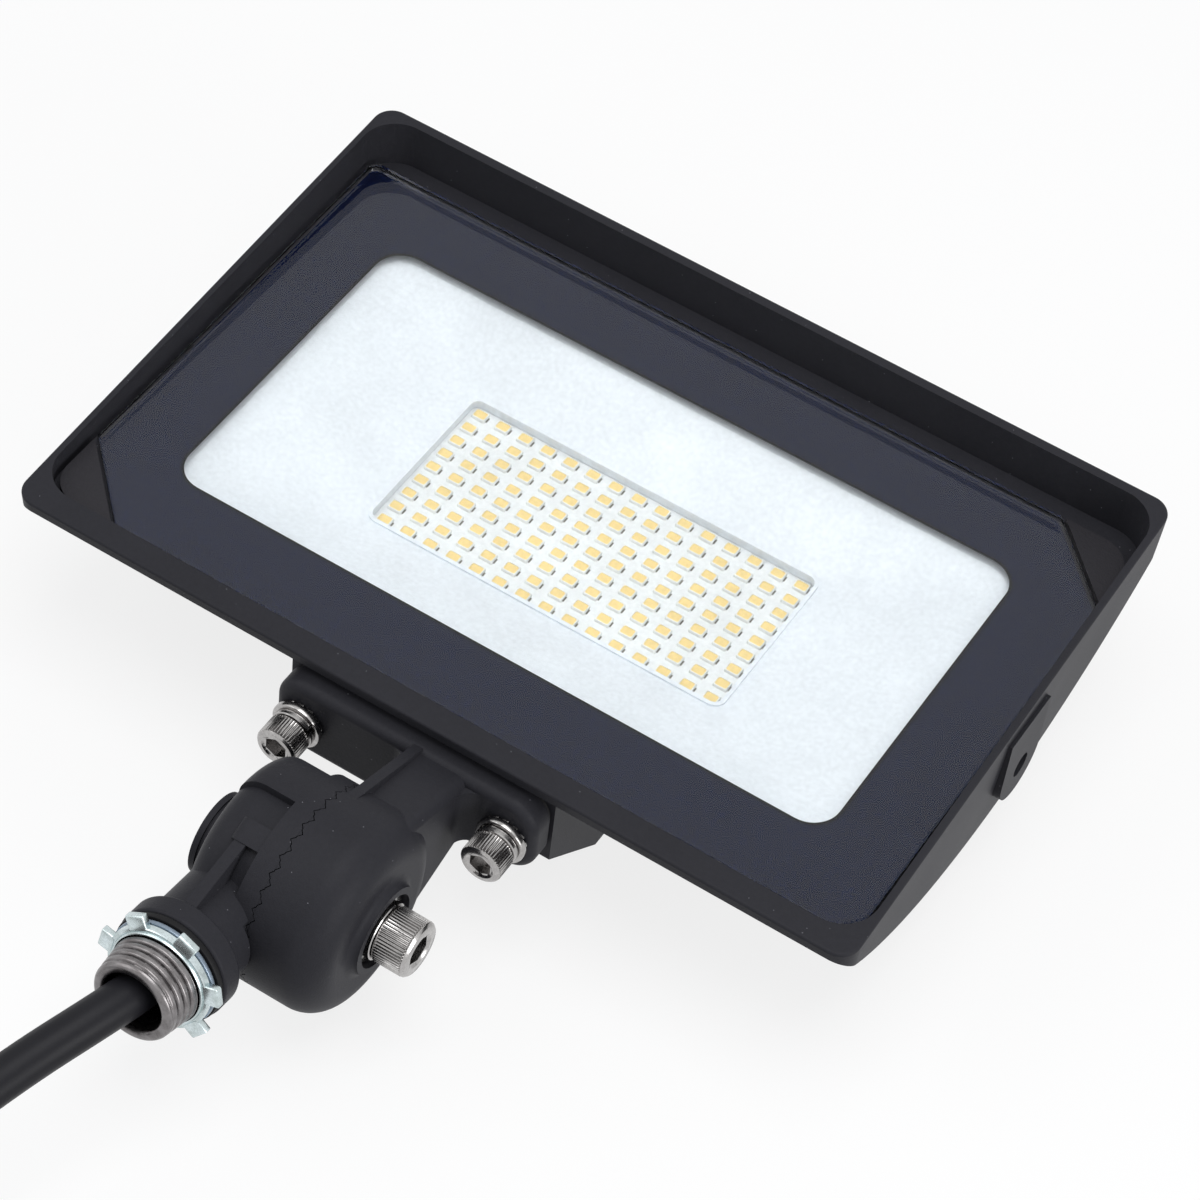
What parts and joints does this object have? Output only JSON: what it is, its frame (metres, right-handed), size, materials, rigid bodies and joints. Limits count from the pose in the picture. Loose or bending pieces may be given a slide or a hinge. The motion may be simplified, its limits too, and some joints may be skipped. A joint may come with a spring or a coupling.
{
  "type": "led flood light",
  "caption": "Black cast LED flood light with a hooded glass front, a finned back and a serrated knuckle mount on a threaded conduit nipple with its supply cord.",
  "frame": {"origin": "centre of the underside of the lamp as it lies on its back, cord left out", "axes": "+X along the long side of the head, +Y from the knuckle to the hooded edge, +Z out of the glass"},
  "size_m": [0.2733, 0.4404, 0.0527],
  "materials": {
    "cast_black": "fine-textured black powder coat on die-cast aluminium",
    "glass": "clear tempered glass with a dark printed border",
    "cover_black": "finely textured black plastic",
    "silicone": "black silicone",
    "reflector_white": "smooth white",
    "board": "white solder mask on a metal core",
    "chip": "pale yellow phosphor in a white body",
    "steel": "plain stainless steel",
    "black_steel": "blackened steel",
    "driver": "white plastic case",
    "lead": "insulated hook-up wire",
    "nipple_grey": "dull cast grey",
    "zinc": "bluish zinc plate",
    "cord_rubber": "black round rubber cord"
  },
  "bodies": {
    "base": {"knuckle_base": "cast_black", "nipple": "nipple_grey", "seal_washer": "zinc", "clamp_nut": "black_steel", "cord_grommet": "silicone", "supply_cord": "cord_rubber", "cord_coil": "cord_rubber", "cord_conductors": "lead"},
    "head": {"housing": "cast_black", "glass_lens": "glass", "corner_cover_left": "cover_black", "corner_cover_right": "cover_black", "glass_gasket": "silicone", "reflector": "reflector_white", "led_board": "board", "led_chips": "chip", "board_screws": "steel", "driver": "driver", "led_wires": "lead", "bracket_gasket": "silicone", "knuckle_arm": "cast_black", "bracket_screws": "steel", "bracket_spring_washers": "steel", "bracket_flat_washers": "steel", "bracket_tooth_washers": "steel", "clamp_flat_washer": "steel", "clamp_spring_washer": "steel"},
    "locknut": {"locknut": "zinc"},
    "clamp_screw": {"clamp_screw": "steel"}
  },
  "joints": [
    {"name": "head_tilt", "type": "hinge", "parent": "base", "child": "head", "pos_m": [0, -0.06572, 0.0292], "axis": [1, 0, 0], "range_deg": [-100, 80]},
    {"name": "locknut_turn", "type": "hinge", "parent": "base", "child": "locknut", "pos_m": [-0.0088, -0.10472, 0.03608], "axis": [0, -0.9848, 0.1736], "continuous": true},
    {"name": "clamp_screw_turn", "type": "hinge", "parent": "base", "child": "clamp_screw", "pos_m": [0, -0.06572, 0.0292], "axis": [1, 0, 0], "continuous": true}
  ]
}
